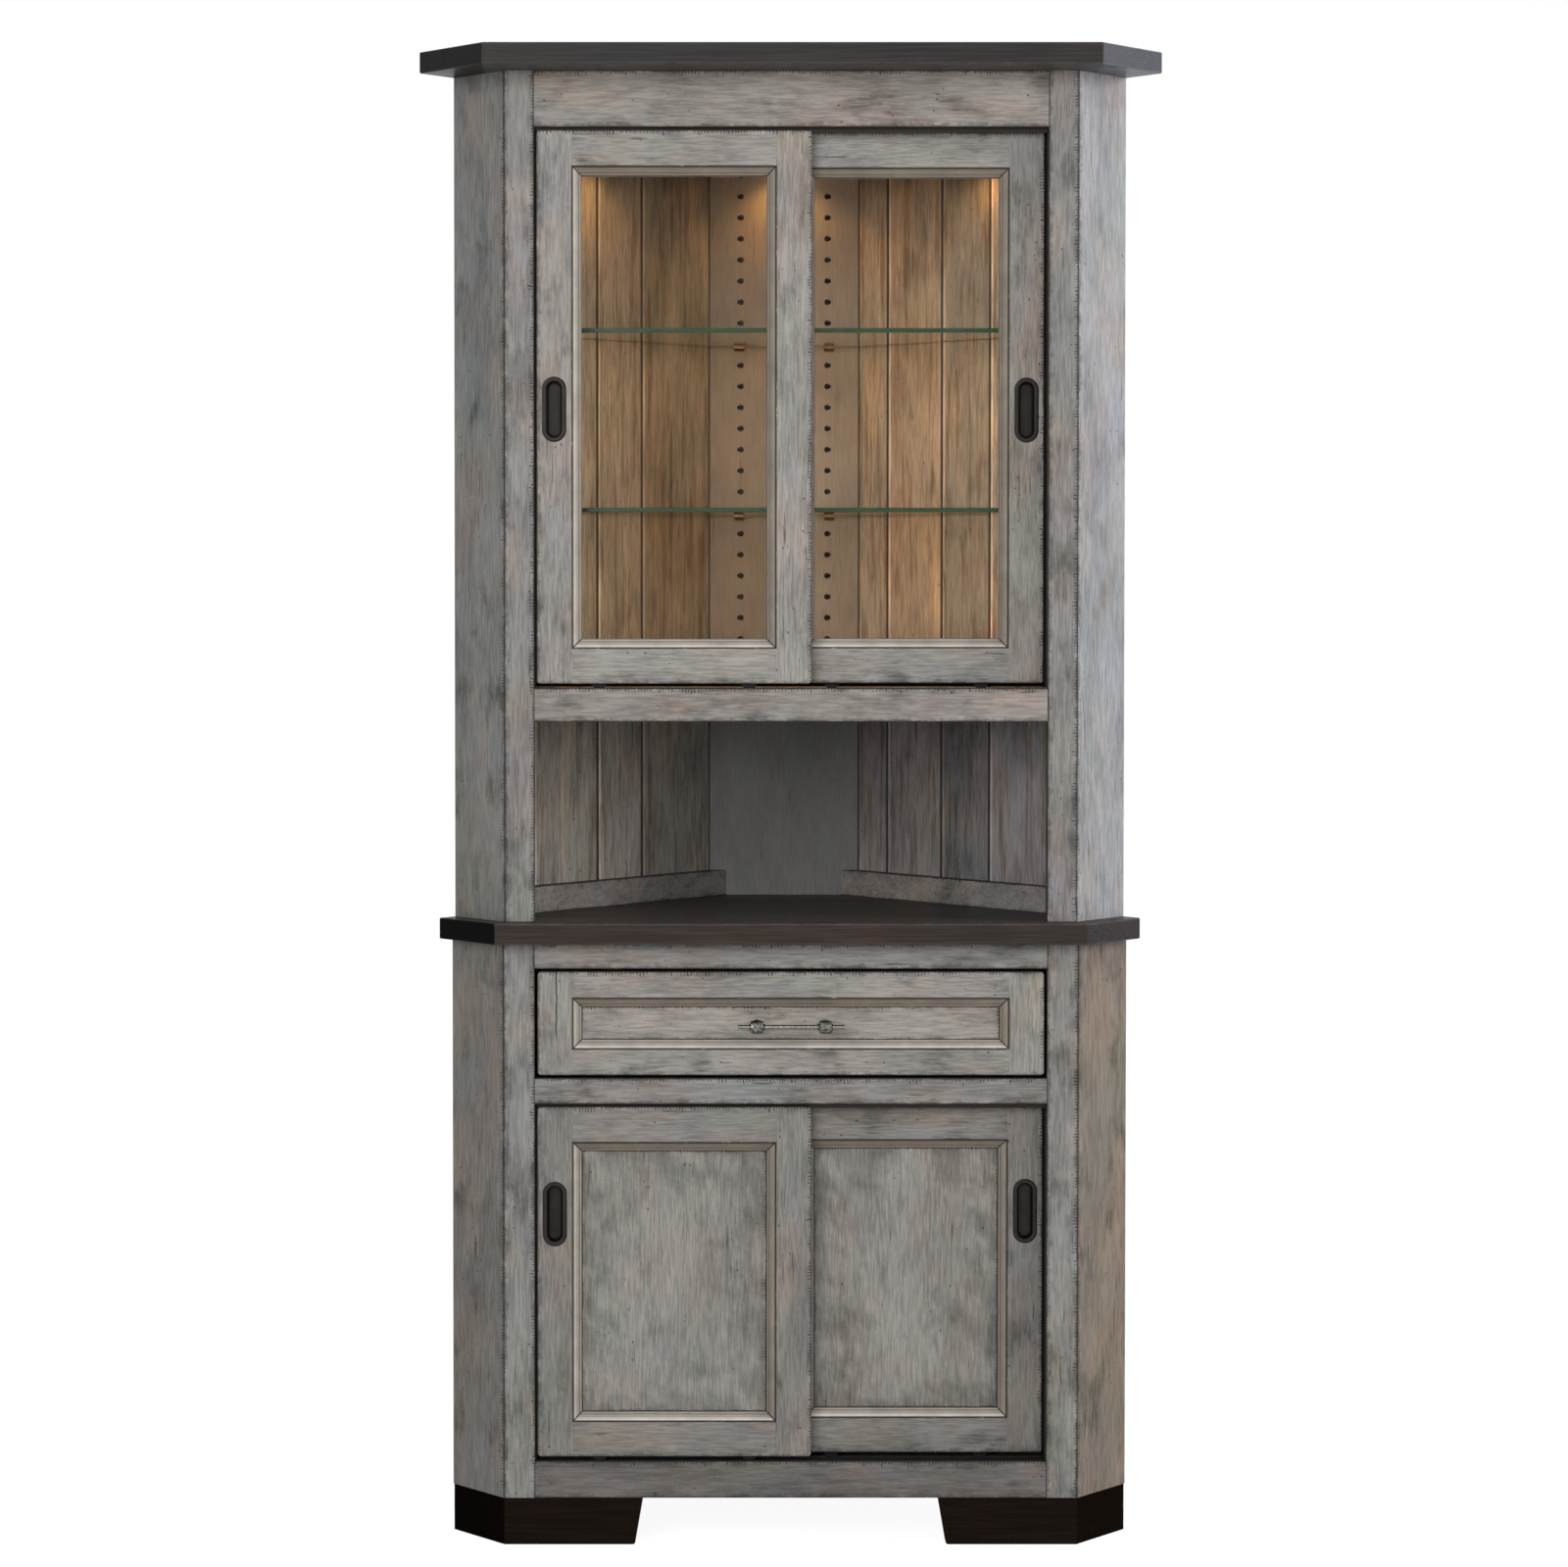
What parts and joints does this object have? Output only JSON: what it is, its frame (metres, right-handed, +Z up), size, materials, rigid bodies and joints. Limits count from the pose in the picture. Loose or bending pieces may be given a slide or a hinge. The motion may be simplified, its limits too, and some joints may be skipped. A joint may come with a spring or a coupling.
{
  "type": "corner hutch",
  "caption": "Corner hutch with glazed sliding doors over an open niche, and a base with a drawer and sliding panel doors, in a distressed grey wash with a dark top.",
  "frame": {"origin": "middle of the footprint's bounding box, on the floor", "axes": "+Z up, +Y from the front face to the room corner, +X to the right as seen from the front"},
  "size_m": [1.046, 0.491, 2.1075],
  "materials": {
    "washed_wood": "brushed grey paint wash over wood, glazed and distressed, satin",
    "washed_plank": "thin grey-tan wash over wood, satin",
    "inner_wood": "plain grey-stained wood",
    "plain_maple": "clear-lacquered pale wood",
    "dark_top": "dark charcoal-brown stain, satin lacquer",
    "foot_wood": "near-black brown stain, satin",
    "clear_glass": "clear float glass with green edges",
    "copper_pins": "copper-plated",
    "light_metal": "satin nickel",
    "light_lens": "frosted",
    "track_aluminium": "mill finish extrusion",
    "slide_steel": "zinc-plated steel",
    "wheel_nylon": "black nylon",
    "dark_bronze": "oil-rubbed bronze",
    "hammered_pewter": "antique pewter, hammered"
  },
  "bodies": {
    "carcass": {"crown_top": "dark_top", "hutch_side_left": "washed_wood", "hutch_side_right": "washed_wood", "hutch_stiles": "washed_wood", "hutch_rails": "washed_wood", "hutch_planks_left": "washed_plank", "hutch_planks_right": "washed_plank", "hutch_center_panel": "washed_plank", "hutch_ceiling": "washed_plank", "hutch_floor": "washed_plank", "niche_rails": "washed_wood", "glass_shelves": "clear_glass", "shelf_pins": "copper_pins", "light_housings": "light_metal", "light_lenses": "light_lens", "door_tracks": "track_aluminium", "door_guides": "plain_maple", "counter_top": "dark_top", "base_side_left": "washed_wood", "base_side_right": "washed_wood", "base_stiles": "washed_wood", "base_rails": "washed_wood", "base_back_panels": "inner_wood", "base_floor": "inner_wood", "base_shelf": "inner_wood", "shelf_cleats": "inner_wood", "feet": "foot_wood", "drawer_web_board": "plain_maple", "drawer_hangers": "plain_maple", "drawer_channels": "slide_steel"},
    "drawer": {"drawer_front_frame": "washed_wood", "drawer_front_panel": "washed_wood", "drawer_box": "plain_maple", "drawer_bottom": "plain_maple", "drawer_pull": "hammered_pewter", "drawer_slides": "slide_steel"},
    "upper_left_door": {"upper_left_frame": "washed_wood", "upper_left_glass": "clear_glass", "upper_left_pull": "dark_bronze", "upper_left_housings": "slide_steel"},
    "upper_left_wheel_1": {"upper_left_wheel_1": "wheel_nylon"},
    "upper_left_wheel_2": {"upper_left_wheel_2": "wheel_nylon"},
    "upper_right_door": {"upper_right_frame": "washed_wood", "upper_right_glass": "clear_glass", "upper_right_pull": "dark_bronze", "upper_right_housings": "slide_steel"},
    "upper_right_wheel_1": {"upper_right_wheel_1": "wheel_nylon"},
    "upper_right_wheel_2": {"upper_right_wheel_2": "wheel_nylon"},
    "lower_left_door": {"lower_left_frame": "washed_wood", "lower_left_panel": "washed_wood", "lower_left_pull": "dark_bronze", "lower_left_housings": "slide_steel"},
    "lower_left_wheel_1": {"lower_left_wheel_1": "wheel_nylon"},
    "lower_left_wheel_2": {"lower_left_wheel_2": "wheel_nylon"},
    "lower_right_door": {"lower_right_frame": "washed_wood", "lower_right_panel": "washed_wood", "lower_right_pull": "dark_bronze", "lower_right_housings": "slide_steel"},
    "lower_right_wheel_1": {"lower_right_wheel_1": "wheel_nylon"},
    "lower_right_wheel_2": {"lower_right_wheel_2": "wheel_nylon"}
  },
  "joints": [
    {"name": "drawer_slide", "type": "slide", "parent": "carcass", "child": "drawer", "axis": [0, -1, 0], "range_m": [0, 0.19]},
    {"name": "upper_left_door_slide", "type": "slide", "parent": "carcass", "child": "upper_left_door", "axis": [1, 0, 0], "range_m": [0, 0.33]},
    {"name": "upper_left_wheel_1_spin", "type": "hinge", "parent": "upper_left_door", "child": "upper_left_wheel_1", "pos_m": [-0.27, -0.1715, 1.2218], "axis": [0, 1, 0], "range_deg": [0, 1900]},
    {"name": "upper_left_wheel_2_spin", "type": "hinge", "parent": "upper_left_door", "child": "upper_left_wheel_2", "pos_m": [-0.0585, -0.1715, 1.2218], "axis": [0, 1, 0], "range_deg": [0, 1900]},
    {"name": "upper_right_door_slide", "type": "slide", "parent": "carcass", "child": "upper_right_door", "axis": [-1, 0, 0], "range_m": [0, 0.33]},
    {"name": "upper_right_wheel_1_spin", "type": "hinge", "parent": "upper_right_door", "child": "upper_right_wheel_1", "pos_m": [0.0585, -0.1485, 1.2218], "axis": [0, 1, 0], "range_deg": [-1900, 0]},
    {"name": "upper_right_wheel_2_spin", "type": "hinge", "parent": "upper_right_door", "child": "upper_right_wheel_2", "pos_m": [0.27, -0.1485, 1.2218], "axis": [0, 1, 0], "range_deg": [-1900, 0]},
    {"name": "lower_left_door_slide", "type": "slide", "parent": "carcass", "child": "lower_left_door", "axis": [1, 0, 0], "range_m": [0, 0.33]},
    {"name": "lower_left_wheel_1_spin", "type": "hinge", "parent": "lower_left_door", "child": "lower_left_wheel_1", "pos_m": [-0.27, -0.1765, 0.1288], "axis": [0, 1, 0], "range_deg": [0, 1900]},
    {"name": "lower_left_wheel_2_spin", "type": "hinge", "parent": "lower_left_door", "child": "lower_left_wheel_2", "pos_m": [-0.0585, -0.1765, 0.1288], "axis": [0, 1, 0], "range_deg": [0, 1900]},
    {"name": "lower_right_door_slide", "type": "slide", "parent": "carcass", "child": "lower_right_door", "axis": [-1, 0, 0], "range_m": [0, 0.33]},
    {"name": "lower_right_wheel_1_spin", "type": "hinge", "parent": "lower_right_door", "child": "lower_right_wheel_1", "pos_m": [0.0585, -0.1535, 0.1288], "axis": [0, 1, 0], "range_deg": [-1900, 0]},
    {"name": "lower_right_wheel_2_spin", "type": "hinge", "parent": "lower_right_door", "child": "lower_right_wheel_2", "pos_m": [0.27, -0.1535, 0.1288], "axis": [0, 1, 0], "range_deg": [-1900, 0]}
  ],
  "couplings": [
    {"joint": "upper_left_wheel_1_spin", "follows": "upper_left_door_slide", "rad_per_m": 100},
    {"joint": "upper_left_wheel_2_spin", "follows": "upper_left_door_slide", "rad_per_m": 100},
    {"joint": "upper_right_wheel_1_spin", "follows": "upper_right_door_slide", "rad_per_m": -100},
    {"joint": "upper_right_wheel_2_spin", "follows": "upper_right_door_slide", "rad_per_m": -100},
    {"joint": "lower_left_wheel_1_spin", "follows": "lower_left_door_slide", "rad_per_m": 100},
    {"joint": "lower_left_wheel_2_spin", "follows": "lower_left_door_slide", "rad_per_m": 100},
    {"joint": "lower_right_wheel_1_spin", "follows": "lower_right_door_slide", "rad_per_m": -100},
    {"joint": "lower_right_wheel_2_spin", "follows": "lower_right_door_slide", "rad_per_m": -100}
  ]
}
